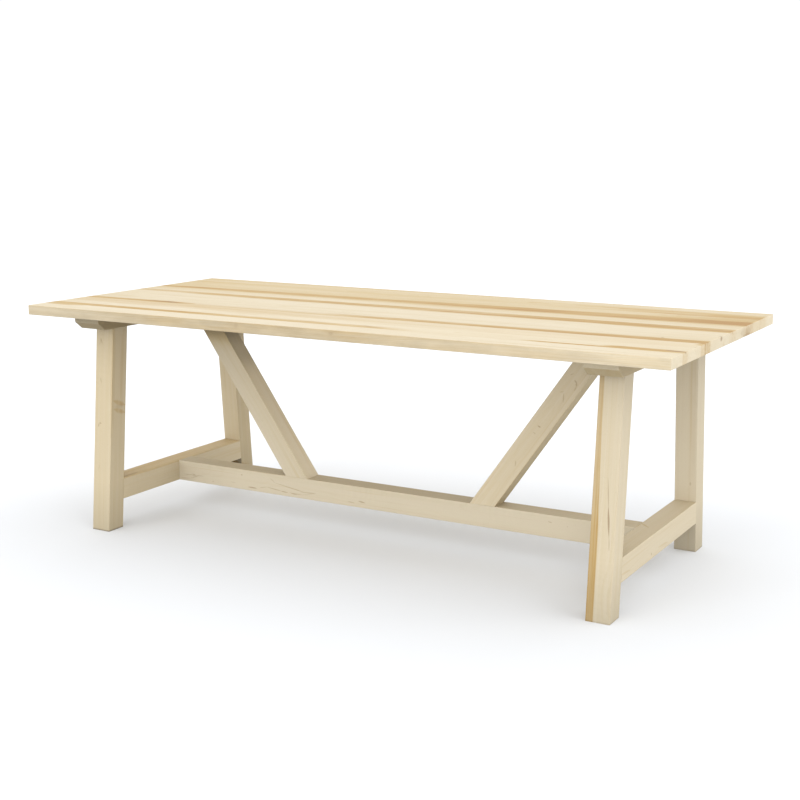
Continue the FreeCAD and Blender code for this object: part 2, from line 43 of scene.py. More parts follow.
class Graph:
    """Adds nodes to a tree; a call gives the new node's output, and takes values or outputs."""

    def __init__(self, tree):
        self.tree = tree

    def add(self, kind, feeds, output=0, **settings):
        node = self.tree.nodes.new(kind)
        for name, setting in settings.items():
            setattr(node, name, setting)
        for key, value in feeds.items():
            self.feed(node.inputs[key], value)
        return node.outputs[output]

    def feed(self, socket, value):
        if isinstance(value, bpy.types.NodeSocket):
            self.tree.links.new(value, socket)
        elif socket.type == "RGBA":
            socket.default_value = (*value, 1.0)
        else:
            socket.default_value = value

    def math(self, operation, *values, clamp=False):
        feeds = dict(enumerate(values))
        return self.add("ShaderNodeMath", feeds, operation=operation, use_clamp=clamp)

    def vector(self, operation, *values):
        return self.add("ShaderNodeVectorMath", dict(enumerate(values)), operation=operation)

    def length(self, vector):
        return self.add("ShaderNodeVectorMath", {0: vector}, output=1, operation="LENGTH")

    def dot(self, a, b):
        return self.add("ShaderNodeVectorMath", {0: a, 1: b}, output=1, operation="DOT_PRODUCT")

    def scaled(self, vector, factor):
        feeds = {0: vector, "Scale": factor}
        return self.add("ShaderNodeVectorMath", feeds, operation="SCALE")

    def parts(self, vector):
        node = self.tree.nodes.new("ShaderNodeSeparateXYZ")
        self.feed(node.inputs[0], vector)
        return node.outputs[0], node.outputs[1], node.outputs[2]

    def ramp(self, value, low, high, at_low=0.0, at_high=1.0):
        """A smooth step of value from low to high."""
        feeds = {0: value, 1: low, 2: high, 3: at_low, 4: at_high}
        return self.add("ShaderNodeMapRange", feeds, interpolation_type="SMOOTHSTEP")

    def blend(self, factor, a, b, kind="MIX"):
        feeds = {0: factor, 6: a, 7: b}
        return self.add("ShaderNodeMix", feeds, output=2, data_type="RGBA", blend_type=kind)

    def noise(self, vector, detail=2.0, roughness=0.5, output="Fac"):
        feeds = {"Vector": vector, "Scale": 1.0, "Detail": detail, "Roughness": roughness}
        return self.add("ShaderNodeTexNoise", feeds, output=output)

    def noise_along(self, value, detail=1.0):
        feeds = {"W": value, "Scale": 1.0, "Detail": detail}
        return self.add("ShaderNodeTexNoise", feeds, noise_dimensions="1D")


class Maple:
    """Solid maple: grain along X, growth rings round a pith, in metres of the piece's own axes."""

    def __init__(self):
        self.tree = bpy.data.node_groups.new("Maple", "ShaderNodeTree")
        self.graph = Graph(self.tree)
        self.given = self.make_sockets()
        self.end_grain = self.given["End Grain"]
        shift = self.graph.scaled((3.1, 1.7, 2.3), self.given["Seed"])
        self.place = self.graph.vector("ADD", self.given["Position"], shift)
        self.fibre = self.stretched(5.0, 650.0, detail=3.0, roughness=0.65)
        self.flecks = self.graph.ramp(self.stretched(110.0, 1500.0, detail=1.0), 0.62, 0.74)
        self.grow_rings()
        self.finish()

    def make_sockets(self):
        sockets = {
            "Position": "NodeSocketVector",
            "Pith": "NodeSocketVector",
            "Seed": "NodeSocketFloat",
            "End Grain": "NodeSocketFloat",
            "Heartwood": "NodeSocketFloat",
            "Knot": "NodeSocketFloat",
            "Bulge": "NodeSocketFloat",
            "Tan": "NodeSocketFloat",
            "Figure": "NodeSocketFloat",
            "End Heartwood": "NodeSocketFloat",
            "Shade": "NodeSocketFloat",
        }
        for name, kind in sockets.items():
            self.tree.interface.new_socket(name, in_out="INPUT", socket_type=kind)
        for name, kind in (("Color", "Color"), ("Roughness", "Float"), ("Height", "Float")):
            self.tree.interface.new_socket(name, in_out="OUTPUT", socket_type=f"NodeSocket{kind}")
        return self.tree.nodes.new("NodeGroupInput").outputs

    def stretched(self, along, across, detail=2.0, roughness=0.5):
        """Noise with that many features to a metre along the grain and across it."""
        place = self.graph.vector("MULTIPLY", self.place, (along, across, across))
        return self.graph.noise(place, detail, roughness)

    def grow_rings(self):
        """Late wood by the distance from a pith that sways along the log, and zones of rings."""
        g = self.graph
        sway = g.noise(g.vector("MULTIPLY", self.place, (1.3, 5.0, 5.0)), output="Color")
        sway = g.vector("MULTIPLY", g.vector("SUBTRACT", sway, (0.5, 0.5, 0.5)), (0.0, 0.07, 0.07))
        spread = g.vector("SUBTRACT", self.given["Position"], self.given["Pith"])
        self.spread = g.vector("ADD", g.vector("MULTIPLY", spread, (0.0, 1.0, 1.0)), sway)
        ripple = g.math("MULTIPLY", g.math("SUBTRACT", self.stretched(8.0, 40.0), 0.5), 0.004)
        distance = g.math("ADD", g.length(self.spread), ripple)
        self.distance = g.math("ADD", distance, self.given["Bulge"])
        rings = g.math("DIVIDE", self.distance, RING_WIDTH)
        step = g.math("FRACT", rings)
        late = g.math("MULTIPLY", g.ramp(step, 0.35, 0.92), g.ramp(step, 0.92, 1.0, 1.0, 0.0))
        clear = g.ramp(g.noise_along(g.math("MULTIPLY", rings, 0.41)), 0.3, 0.7)
        self.late = g.math("MULTIPLY", late, clear)
        zones = g.noise_along(g.math("MULTIPLY", rings, 0.11), detail=3.0)
        self.zones = g.ramp(zones, 0.25, 0.75)

    def sapwood(self):
        """From cream to tan, by the rings, clouds, bundles of fibres and stripes."""
        g = self.graph
        clouds = g.ramp(self.stretched(1.1, 9.0), 0.25, 0.75)
        bundles = g.ramp(self.stretched(2.2, 130.0, detail=3.0), 0.3, 0.7)
        stripes = g.ramp(self.stretched(0.8, 60.0), 0.3, 0.7)
        tan = g.math("MULTIPLY_ADD", self.zones, 0.30, g.math("MULTIPLY", clouds, 0.28))
        tan = g.math("ADD", tan, g.math("MULTIPLY", self.late, 0.40))
        tan = g.math("ADD", tan, g.math("MULTIPLY_ADD", bundles, 0.24, -0.12))
        stripes = g.math("MULTIPLY_ADD", stripes, 0.16, -0.08)
        tan = g.math("MULTIPLY_ADD", tan, self.given["Figure"], stripes)
        tan = g.math("ADD", tan, self.given["Tan"], clamp=True)
        tan = g.math("MULTIPLY", tan, g.math("MULTIPLY_ADD", self.end_grain, -0.6, 1.0))
        return g.blend(tan, CREAM, TAN)

    def add_heartwood(self, color):
        """Amber over the colour where the piece has heartwood, and browner where it is strongest."""
        g = self.graph
        patchy = g.ramp(self.stretched(1.5, 110.0, detail=3.0), 0.3, 0.7, 0.78, 1.26)
        blotchy = g.ramp(self.stretched(7.0, 34.0), 0.3, 0.7, 0.84, 1.14)
        heart = g.math("MULTIPLY", self.given["Heartwood"], g.math("MULTIPLY", patchy, blotchy))
        core = g.math("MULTIPLY_ADD", self.zones, 0.30, g.math("MULTIPLY", self.late, 0.30))
        beyond = g.math("MAXIMUM", g.math("SUBTRACT", heart, 1.0), 0.0)
        core = g.math("ADD", core, beyond, clamp=True)
        shown = g.add("ShaderNodeMix", {0: self.end_grain, 2: 1.0, 3: self.given["End Heartwood"]})
        heart = g.math("MULTIPLY", heart, shown, clamp=True)
        return g.blend(heart, color, g.blend(core, AMBER, CORE))

    def add_streaks(self, color):
        """Faint amber streaks over the colour, then the knots and marks of the piece."""
        g = self.graph
        broad = g.ramp(self.stretched(0.9, 34.0), 0.60, 0.78)
        thin = g.ramp(self.stretched(1.7, 190.0, detail=1.0), 0.66, 0.80)
        streaks = g.math("MULTIPLY", g.math("MAXIMUM", broad, thin), 0.35)
        return g.blend(self.given["Knot"], g.blend(streaks, color, AMBER), KNOT)

    def shade(self):
        """Fibres, short flecks and a faint curl across the grain."""
        g = self.graph
        shade = g.math("MULTIPLY_ADD", self.fibre, 0.22, -0.11)
        shade = g.math("MULTIPLY", shade, self.given["Figure"])
        shade = g.math("MULTIPLY", g.math("ADD", shade, 1.0), self.given["Shade"])
        shade = g.math("MULTIPLY", shade, g.math("MULTIPLY_ADD", self.flecks, -0.11, 1.0))
        along = g.math("MULTIPLY", g.parts(self.place)[0], 300.0)
        curl = g.math("SINE", g.math("MULTIPLY_ADD", self.stretched(14.0, 22.0), 14.0, along))
        curl = g.math("MULTIPLY", curl, g.ramp(self.stretched(3.0, 9.0), 0.50, 0.75))
        return g.math("MULTIPLY", shade, g.math("MULTIPLY_ADD", curl, 0.012, 1.0))

    def end_shade(self):
        """The end grain's rings, and rays that run out from the pith."""
        g = self.graph
        _, ring_y, ring_z = g.parts(self.spread)
        turn = g.math("MULTIPLY", g.math("ARCTAN2", ring_z, ring_y), 260.0)
        outward = g.math("MULTIPLY", self.distance, 60.0)
        rays = g.noise(g.add("ShaderNodeCombineXYZ", {0: turn, 1: outward}))
        # The rays are the grain's; the end grain as a whole is lighter than the faces, as painted
        # light.
        rays = g.math("MULTIPLY_ADD", rays, -0.20, 1.18)
        return g.math("MULTIPLY", rays, g.math("MULTIPLY_ADD", self.late, -0.10, 1.0))

    def finish(self):
        """Colour under the shade, with roughness and height, to the group's outputs."""
        g = self.graph
        color = self.add_streaks(self.add_heartwood(self.sapwood()))
        at_ends = g.add("ShaderNodeMix", {0: self.end_grain, 2: 1.0, 3: self.end_shade()})
        shade = g.math("MULTIPLY", self.shade(), at_ends)
        grey = g.add("ShaderNodeCombineColor", {0: shade, 1: shade, 2: shade})
        roughness = g.math("MULTIPLY_ADD", self.fibre, 0.20, 0.58)
        height = g.math("MULTIPLY_ADD", self.flecks, -0.5, self.fibre)
        feeds = {
            "Color": g.blend(1.0, color, grey, "MULTIPLY"),
            "Roughness": g.math("MULTIPLY_ADD", self.end_grain, 0.12, roughness),
            "Height": g.math("MULTIPLY_ADD", self.late, 0.3, height),
        }
        result = self.tree.nodes.new("NodeGroupOutput")
        for name, value in feeds.items():
            g.feed(result.inputs[name], value)


MAPLE = Maple().tree


class Piece:
    """A node's material in its own axes: X along the grain, Y across a face, Z out of it."""

    def __init__(self, node, grain, face):
        self.node = node
        self.material = bpy.data.materials.new(node)
        self.material.use_nodes = True
        self.tree = self.material.node_tree
        self.tree.nodes.clear()
        self.graph = Graph(self.tree)
        low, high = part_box(node)
        self.centre = (low + high) / 2
        self.size = high - low
        self.grain = Vector(grain).normalized()
        across = Vector(face).cross(self.grain).normalized()
        self.axes = Matrix((self.grain, across, self.grain.cross(across))).transposed()
        coordinates = self.tree.nodes.new("ShaderNodeTexCoord")
        self.normal = coordinates.outputs["Normal"]
        self.place = coordinates.outputs["Object"]
        self.tan = 0.0
        self.shade = 1.0
        self.end_heartwood = 0.2
        feeds = {
            "Vector": self.place,
            "Location": self.centre,
            "Rotation": self.axes.to_euler(),
        }
        self.position = self.graph.add("ShaderNodeMapping", feeds, vector_type="TEXTURE")
        self.heartwood = []
        self.knots = []
        self.bulges = []

    def depth_from(self, side):
        """Distance into the piece from the face on that side, a direction of the shared frame."""
        local = self.axes.transposed() @ Vector(side)
        half = abs(self.size.dot(Vector(side))) / 2
        return self.graph.math("SUBTRACT", half, self.graph.dot(self.position, local))

    def levels(self, first, changes, fade, ragged=0.0):
        """A strength along the grain: each change is a place from mid-length and a new strength.

        Ragged changes come sooner in some fibres and later in others.
        """
        g = self.graph
        along = g.parts(self.position)[0]
        if ragged:
            fibres = g.noise(g.vector("MULTIPLY", self.position, (3.0, 260.0, 260.0)), detail=2.0)
            along = g.math("ADD", along, g.math("MULTIPLY_ADD", fibres, ragged, -0.5 * ragged))
        strength = before = first
        for place, level in changes:
            change = g.ramp(along, place - fade, place + fade, 0.0, level - before)
            strength = g.math("ADD", strength, change)
            before = level
        return strength

    def band(self, side, width, strength, changes=(), taper=0.0, soft=0.010, fade=0.10, line=0.0):
        """Heartwood along one side, and the strength of a thin line just inside its limit.

        The width is at mid-length, and the taper is its change per metre along the grain.
        """
        g = self.graph
        along = g.parts(self.position)[0]
        # The limit wanders between 0.7 and 1.3 of the width, and fibres fray it.
        wander = g.noise_along(g.math("MULTIPLY_ADD", along, 2.3, width * 100), detail=3.0)
        limit = g.math("MULTIPLY_ADD", along, taper, 0.7 * width)
        limit = g.math("MULTIPLY_ADD", wander, 0.6 * width, limit)
        fringe = g.noise(g.vector("MULTIPLY", self.position, (4.0, 170.0, 170.0)), detail=3.0)
        limit = g.math("ADD", limit, g.math("MULTIPLY_ADD", fringe, 3.0 * soft, -1.5 * soft))
        inside = g.math("SUBTRACT", limit, self.depth_from(side))
        level = self.levels(strength, changes, fade, ragged=4.0 * fade if changes else 0.0)
        self.heartwood.append(g.math("MULTIPLY", g.ramp(inside, -soft, soft), level))
        if line:
            off_line = g.math("ABSOLUTE", g.math("SUBTRACT", inside, 0.0025))
            self.heartwood.append(g.ramp(off_line, 0.0005, 0.0018, line, 0.0))

    def local(self, place):
        """A place of the shared frame, in the piece's own axes."""
        return self.axes.transposed() @ (Vector(place) - self.centre)

    def knot(self, place, radii, strength):
        """A small knot that the rings bend round: radii along the grain, across and in depth."""
        g = self.graph
        offset = g.vector("SUBTRACT", self.position, self.local(place))
        reach = g.length(g.vector("DIVIDE", offset, radii))
        self.knots.append(g.ramp(reach, 0.3, 1.0, strength, 0.0))
        self.bulges.append(g.ramp(reach, 0.0, 4.0, radii[1], 0.0))

    def mark(self, start, end, width, strength, masks=None):
        """A streak between two places, thinning to both ends, in the knots' colour by default.

        The width is its reach to either side at the middle.
        """
        g = self.graph
        start = self.local(start)
        run = self.local(end) - start
        offset = g.vector("SUBTRACT", self.position, start)
        part = g.math("ADD", g.dot(offset, run / run.length_squared), 0.0, clamp=True)
        away = g.length(g.vector("SUBTRACT", offset, g.scaled(run, part)))
        swell = g.math("MULTIPLY", part, g.math("SUBTRACT", 1.0, part))
        reach = g.math("DIVIDE", away, g.math("MULTIPLY_ADD", swell, 3.3 * width, 0.18 * width))
        fringe = g.noise(g.vector("MULTIPLY", self.position, (9.0, 240.0, 240.0)), detail=2.0)
        reach = g.math("ADD", reach, g.math("MULTIPLY_ADD", fringe, 1.4, -0.7))
        masks = self.knots if masks is None else masks
        masks.append(g.ramp(reach, 0.2, 1.1, strength, 0.0))

    def marks(self, on_face, rows, masks=None):
        """Streaks on one face: rows of start, end, width and strength."""
        for start, end, width, strength in rows:
            self.mark(on_face(*start), on_face(*end), width, strength, masks)

    def face_tone_and_painted_shade(self, side, tan=0.0, shade=1.0, changes=(), fade=0.4):
        """A face with a tone of its own, more tan, and a shade that changes along it: wood tone on
        some faces, painted shade on others.
        """
        g = self.graph
        facing = g.ramp(g.dot(self.normal, side), 0.6, 0.9)
        self.tan = g.math("MULTIPLY_ADD", facing, tan, self.tan)
        level = g.math("SUBTRACT", self.levels(shade, changes, fade), 1.0)
        self.shade = g.math("MULTIPLY", self.shade, g.math("MULTIPLY_ADD", facing, level, 1.0))

    def waves(self, side, depth):
        """Wavy figure on a face, in patches that are lighter and darker by that share."""
        g = self.graph
        patches = g.noise(g.vector("MULTIPLY", self.position, (9.0, 34.0, 34.0)), detail=3.0)
        self.face_tone_and_painted_shade(side, shade=g.ramp(patches, 0.3, 0.7, 1.0 - depth, 1.0 + depth))

    def paint_shade_at_foot(self, edge=0.78):
        """Painted shade, darker towards the floor and most at the very edge."""
        height = self.graph.parts(self.place)[2]
        for reach, shade in ((0.17, 0.81), (0.006, edge)):
            feeds = {0: height, 1: 0.0, 2: reach, 3: shade, 4: 1.0}
            painted_foot_shade = self.graph.add("ShaderNodeMapRange", feeds)
            self.shade = self.graph.math("MULTIPLY", self.shade, painted_foot_shade)

    def strongest(self, masks):
        """The strongest of the masks at each point, or nothing where there are none."""
        result = masks[0] if masks else 0.0
        for mask in masks[1:]:
            result = self.graph.math("MAXIMUM", result, mask)
        return result

    def finish(self, seed, pith, tan, figure=0.35):
        """Gives the node its maple; the pith is a place across the grain, from the centre."""
        g = self.graph
        facing = g.math("ABSOLUTE", g.dot(self.normal, self.grain))
        maple = self.tree.nodes.new("ShaderNodeGroup")
        maple.node_tree = MAPLE
        feeds = {
            "Position": self.position,
            "Pith": (0.0, *pith),
            "Seed": seed,
            "End Grain": g.ramp(facing, 0.6, 0.9),
            "Heartwood": self.strongest(self.heartwood),
            "Knot": self.strongest(self.knots),
            "Bulge": self.strongest(self.bulges),
            "Tan": g.math("ADD", self.tan, tan),
            "Figure": figure,
            "End Heartwood": self.end_heartwood,
            "Shade": self.shade,
        }
        for name, value in feeds.items():
            g.feed(maple.inputs[name], value)
        bump = {"Height": maple.outputs["Height"], "Strength": 0.5, "Distance": 0.00025}
        shader = {
            "Base Color": maple.outputs["Color"],
            "Roughness": maple.outputs["Roughness"],
            "Normal": g.add("ShaderNodeBump", bump),
            "IOR": 1.45,
            "Specular IOR Level": 0.3,
        }
        output = self.tree.nodes.new("ShaderNodeOutputMaterial")
        g.feed(output.inputs["Surface"], g.add("ShaderNodeBsdfPrincipled", shader))
        wear(self.node, self.material)


def wear(node, material):
    """The material in place of the one that the node came with."""
    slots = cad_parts[node].data.materials
    slots.clear()
    slots.append(material)


LEFT, RIGHT = (-1, 0, 0), (1, 0, 0)
FRONT, BACK = (0, -1, 0), (0, 1, 0)
UP, DOWN = (0, 0, 1), (0, 0, -1)

# Directions of the sloping grain.
SPLAY = math.radians(4.8)
UP_FRONT_LEG = (0, math.sin(SPLAY), math.cos(SPLAY))
UP_BACK_LEG = (0, -math.sin(SPLAY), math.cos(SPLAY))
BRACE_ANGLE = math.radians(55)
UP_LEFT_BRACE = (-math.cos(BRACE_ANGLE), 0, math.sin(BRACE_ANGLE))
UP_RIGHT_BRACE = (math.cos(BRACE_ANGLE), 0, math.sin(BRACE_ANGLE))

# Faces that carry marks.
FRONT_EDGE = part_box("top_board_1")[0].y
RIGHT_END, _, TOP_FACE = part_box("top_board_1")[1]
FRONT_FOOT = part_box("leg_front_left")[0].y
LEFT_LEG_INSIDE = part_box("leg_front_left")[1].x
STRETCHER_OUTSIDE, _, STRETCHER_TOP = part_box("cross_stretcher_right")[1]
SPINE_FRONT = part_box("long_stretcher")[0].y


def on_top(x, y):
    return (x, y, TOP_FACE)


def on_front_edge(x, z):
    return (x, FRONT_EDGE, z)


def on_right_end(y, z):
    return (RIGHT_END, y, z)


def on_front_leg(x, z):
    """A place on the front face of the two front legs, which leans back."""
    return (x, FRONT_FOOT + z * math.tan(SPLAY), z)


def inside_left_leg(y, z):
    return (LEFT_LEG_INSIDE, y, z)


def on_stretcher(x, y):
    """A place on top of the cross stretchers, which are level."""
    return (x, y, STRETCHER_TOP)


def outside_right_stretcher(y, z):
    return (STRETCHER_OUTSIDE, y, z)


def on_spine(x, z):
    """A place on the front of the long stretcher and its braces, which are flush."""
    return (x, SPINE_FRONT, z)


def board(number):
    """A board of the top, a little more tan towards its ends."""
    piece = Piece(f"top_board_{number}", grain=RIGHT, face=UP)
    piece.tan = piece.levels(0.14, [(-0.97, 0.0), (0.96, 0.16)], fade=0.10)
    return piece


# The boards of the top, creamy at the front and more tan at the back.
def dress_board_1():
    """Wavy figure and painted shade on its front edge, and amber at the left end of its joint."""
    piece = board(1)
    piece.shade = 1.03
    tint = [(-0.65, 0.40), (0.30, 0.30), (0.90, 0.12)]
    piece.band(FRONT, 0.003, 0.20, tint, soft=0.001, fade=0.15)
    piece.band(BACK, 0.024, 0.72, [(-0.96, 0.0)], soft=0.008, fade=0.04)
    # Painted shade along the front edge: darkest at the left end, lighter to the right.
    painted_edge_shade = [(-0.28, 0.878), (0.0, 0.915), (0.56, 0.985), (0.85, 1.025), (1.05, 1.04)]
    piece.face_tone_and_painted_shade(FRONT, tan=0.08, shade=0.87, changes=painted_edge_shade, fade=0.12)
    piece.waves(FRONT, 0.07)
    piece.knot(on_front_edge(-0.252, 0.757), (0.010, 0.012, 0.014), 0.12)
    piece.knot(on_front_edge(0.085, 0.755), (0.012, 0.012, 0.008), 0.16)
    piece.finish(seed=1.0, pith=(0.030, -0.060), tan=-0.32, figure=1.0)


def dress_board_2():
    """Amber along most of its front joint, and dark streaks near its middle and right end."""
    piece = board(2)
    piece.shade = 1.03
    piece.end_heartwood = 0.45
    piece.band(FRONT, 0.040, 0.80, [(-0.85, 1.20), (-0.45, 0.90), (0.00, 0.65), (0.24, 0.0)])
    piece.band(FRONT, 0.016, 0.0, [(0.66, 1.45), (0.90, 0.0)], fade=0.04, soft=0.004)
    piece.band(FRONT, 0.040, 0.0, [(0.88, 1.10), (1.06, 0.60)], fade=0.03)
    piece.band(FRONT, 0.004, 0.80, [(-0.20, 0.40), (0.90, 1.00)], soft=0.002, fade=0.15)
    piece.band(BACK, 0.085, 0.40, [(-0.1, 0.20), (1.07, 0.0)], soft=0.030, fade=0.3)
    piece.band(BACK, 0.034, 0.0, [(1.085, 0.75)], soft=0.004, fade=0.012)
    piece.marks(on_top, (
        ((0.105, -0.376), (0.200, -0.390), 0.0060, 0.38),
        ((0.118, -0.366), (0.146, -0.380), 0.0040, 0.30),
        ((1.045, -0.380), (1.110, -0.385), 0.0100, 0.70),
    ))
    piece.finish(seed=2.0, pith=(-0.060, -0.050), tan=-0.24, figure=1.0)


def dress_board_3():
    """Amber along its front joint, stronger to the right, and a dark knot near its left end."""
    piece = board(3)
    piece.end_heartwood = 0.45
    piece.band(FRONT, 0.040, 0.85, [(-0.68, 0.22), (-0.05, 0.95), (0.5, 1.15)], taper=0.008)
    joint = [(-0.62, 0.60), (-0.05, 0.80), (0.4, 1.60)]
    piece.band(FRONT, 0.014, 0.0, joint, soft=0.004, fade=0.2)
    piece.mark(on_top(-0.920, -0.205), on_top(-0.640, -0.200), 0.024, 1.20, piece.heartwood)
    piece.marks(on_top, (
        ((-0.850, -0.192), (-0.730, -0.203), 0.0060, 0.60),
        ((-0.780, -0.195), (-0.680, -0.210), 0.0055, 0.60),
    ))
    piece.knot(on_top(-0.742, -0.199), (0.036, 0.015, 0.020), 0.72)
    piece.knot(on_top(-0.746, -0.198), (0.018, 0.008, 0.020), 0.95)
    piece.knot(on_top(0.962, -0.160), (0.007, 0.005, 0.020), 0.80)
    piece.finish(seed=3.0, pith=(0.020, -0.080), tan=-0.14, figure=1.0)


def dress_board_4():
    """Long amber streaks along its back joint, and a knot in its right end."""
    piece = board(4)
    piece.band(BACK, 0.057, 0.60, [(-0.72, 0.90), (0.0, 0.72), (0.5, 0.95)], taper=0.015, fade=0.2)
    piece.band(BACK, 0.012, 0.60, [(-0.4, 0.90), (0.0, 0.50)], soft=0.004, fade=0.2)
    piece.marks(on_top, (
        ((-0.820, 0.048), (0.060, 0.044), 0.014, 1.15),
        ((0.100, 0.040), (0.640, 0.044), 0.018, 1.40),
        ((0.380, 0.030), (1.020, 0.040), 0.014, 1.35),
        ((0.760, 0.046), (1.260, 0.046), 0.019, 1.60),
    ), piece.heartwood)
    piece.knot(on_right_end(-0.065, 0.759), (0.014, 0.015, 0.010), 0.65)
    piece.finish(seed=4.0, pith=(-0.040, -0.070), tan=-0.18, figure=1.0)


def dress_board_5():
    """Thin amber along its back joint, and faint stains in its right end."""
    piece = board(5)
    piece.band(BACK, 0.020, 0.55, [(0.0, 0.70)], soft=0.008, fade=0.3)
    piece.marks(on_right_end, (
        ((0.132, 0.749), (0.190, 0.748), 0.018, 0.20),
        ((0.158, 0.738), (0.190, 0.738), 0.007, 0.36),
    ))
    piece.finish(seed=5.0, pith=(0.120, -0.050), tan=0.08, figure=1.0)


def dress_board_6():
    """Broad amber along its front joint, stronger to the right, and stains in its right end."""
    piece = board(6)
    piece.end_heartwood = 0.15
    heart = [(-0.88, 0.90), (0.02, 1.15), (0.28, 1.50), (0.50, 1.00), (0.88, 1.80)]
    piece.band(FRONT, 0.060, 1.20, heart, taper=0.025)
    joint = [(-0.80, 0.95), (0.4, 1.70), (0.90, 2.00)]
    piece.band(FRONT, 0.016, 1.20, joint, taper=0.006, soft=0.004, fade=0.2)
    piece.face_tone_and_painted_shade(RIGHT, tan=-0.25, shade=1.02)
    piece.band(BACK, 0.075, 0.0, [(0.80, 0.30), (0.96, 0.55)], soft=0.020, fade=0.06)
    piece.mark(on_top(-1.020, 0.210), on_top(-0.945, 0.212), 0.012, 1.10, piece.heartwood)
    piece.marks(on_right_end, (
        ((0.178, 0.748), (0.240, 0.745), 0.018, 0.24),
        ((0.180, 0.739), (0.234, 0.738), 0.008, 0.46),
    ))
    piece.finish(seed=6.0, pith=(0.050, -0.060), tan=0.46, figure=1.0)


def dress_board_7():
    """Amber streaks on its right half, and a thin one along the back edge."""
    piece = board(7)
    piece.band(FRONT, 0.060, 0.0, [(0.64, 0.40), (0.93, 1.00)], soft=0.020, fade=0.06)
    piece.band(FRONT, 0.012, 0.0, [(0.40, 0.60), (0.85, 1.50)], soft=0.004, fade=0.2)
    piece.face_tone_and_painted_shade(RIGHT, tan=-0.30, shade=1.03)
    # Sapwood along the back edge, paler towards the right end.
    g = piece.graph
    pale = piece.levels(0.0, [(0.35, 0.28), (0.75, 0.42)], fade=0.12)
    pale = g.math("MULTIPLY", pale, g.ramp(piece.depth_from(BACK), 0.050, 0.085, 1.0, 0.0))
    piece.tan = g.math("SUBTRACT", piece.tan, pale)
    piece.marks(on_top, (
        ((-1.090, 0.386), (-0.960, 0.388), 0.010, 0.50),
        ((0.300, 0.399), (0.360, 0.402), 0.014, 0.55),
        ((0.480, 0.402), (1.120, 0.404), 0.017, 0.75),
        ((0.690, 0.372), (0.890, 0.356), 0.018, 0.55),
        ((0.790, 0.352), (0.850, 0.346), 0.009, 1.40),
        ((-1.095, 0.495), (0.800, 0.495), 0.012, 0.75),
    ), piece.heartwood)
    piece.finish(seed=7.0, pith=(-0.030, -0.070), tan=0.46, figure=1.0)


# The legs are smooth, with a few marks.
def dress_leg_front_left():
    """Short curved marks in front and amber streaks inside, and painted shade darkest round its
    foot.
    """
    piece = Piece("leg_front_left", UP_FRONT_LEG, FRONT)
    piece.paint_shade_at_foot(edge=0.35)
    piece.knot(inside_left_leg(-0.346, 0.420), (0.010, 0.012, 0.030), 0.14)
    piece.marks(inside_left_leg, (
        ((-0.374, 0.443), (-0.316, 0.420), 0.010, 0.55),
        ((-0.372, 0.414), (-0.318, 0.394), 0.010, 0.50),
        ((-0.318, 0.660), (-0.338, 0.445), 0.012, 0.20),
    ), piece.heartwood)
    piece.marks(on_front_leg, (
        ((-0.9095, 0.651), (-0.9140, 0.628), 0.0026, 0.35),
        ((-0.9095, 0.651), (-0.9030, 0.632), 0.0026, 0.45),
        ((-0.9080, 0.518), (-0.9030, 0.500), 0.0024, 0.30),
        ((-0.9130, 0.352), (-0.9090, 0.366), 0.0026, 0.48),
        ((-0.9090, 0.366), (-0.9000, 0.364), 0.0026, 0.52),
        ((-0.9050, 0.224), (-0.9090, 0.205), 0.0024, 0.25),
    ))
    piece.finish(seed=11.0, pith=(-0.070, -0.055), tan=0.35)


def dress_leg_front_right():
    """An amber edge inside with a dark line, and a dark streak down the front."""
    piece = Piece("leg_front_right", UP_FRONT_LEG, FRONT)
    # Painted shade towards the floor.
    piece.paint_shade_at_foot()
    piece.band(LEFT, 0.019, 0.82, [(-0.05, 0.62)], taper=-0.010, soft=0.002, fade=0.15, line=0.90)
    piece.marks(on_front_leg, (
        ((0.8995, 0.405), (0.9065, 0.315), 0.0020, 0.40),
        ((0.9055, 0.325), (0.9122, 0.240), 0.0038, 0.65),
        ((0.9118, 0.248), (0.9145, 0.205), 0.0018, 0.35),
    ))
    piece.finish(seed=12.0, pith=(-0.045, -0.075), tan=0.10)


def dress_leg_back_left():
    """Painted shadow below the cross stretcher, where its foot is brown, and painted shade just
    under the beam.
    """
    piece = Piece("leg_back_left", UP_BACK_LEG, BACK)
    # Painted shade towards the floor.
    piece.paint_shade_at_foot()
    # Painted shadow on the front below the cross stretcher; the amber mark at the foot warms it.
    piece.face_tone_and_painted_shade(FRONT, shade=0.45, changes=[(-0.21, 1.07)], fade=0.03)
    piece.mark((-0.893, 0.349, 0.020), (-0.893, 0.346, 0.090), 0.060, 0.90, piece.heartwood)
    # The right face more tan and a little darker, with painted shade at its top under the beam.
    piece.face_tone_and_painted_shade(RIGHT, tan=0.22, shade=0.91, changes=[(0.215, 0.55)], fade=0.04)
    piece.finish(seed=13.0, pith=(0.080, -0.050), tan=0.34)


def dress_leg_back_right():
    """Even and pale, with painted shade below the cross stretcher, and a small knot in front."""
    piece = Piece("leg_back_right", UP_BACK_LEG, BACK)
    # Painted shade towards the floor.
    piece.paint_shade_at_foot()
    # Painted shade on the front below the cross stretcher.
    piece.face_tone_and_painted_shade(FRONT, shade=0.90, changes=[(-0.23, 1.08), (0.31, 1.02)], fade=0.03)
    piece.face_tone_and_painted_shade(RIGHT, tan=0.10, shade=0.94)
    piece.knot((0.909, 0.329, 0.228), (0.009, 0.004, 0.020), 0.30)
    piece.finish(seed=14.0, pith=(0.030, -0.085), tan=-0.01, figure=0.20)


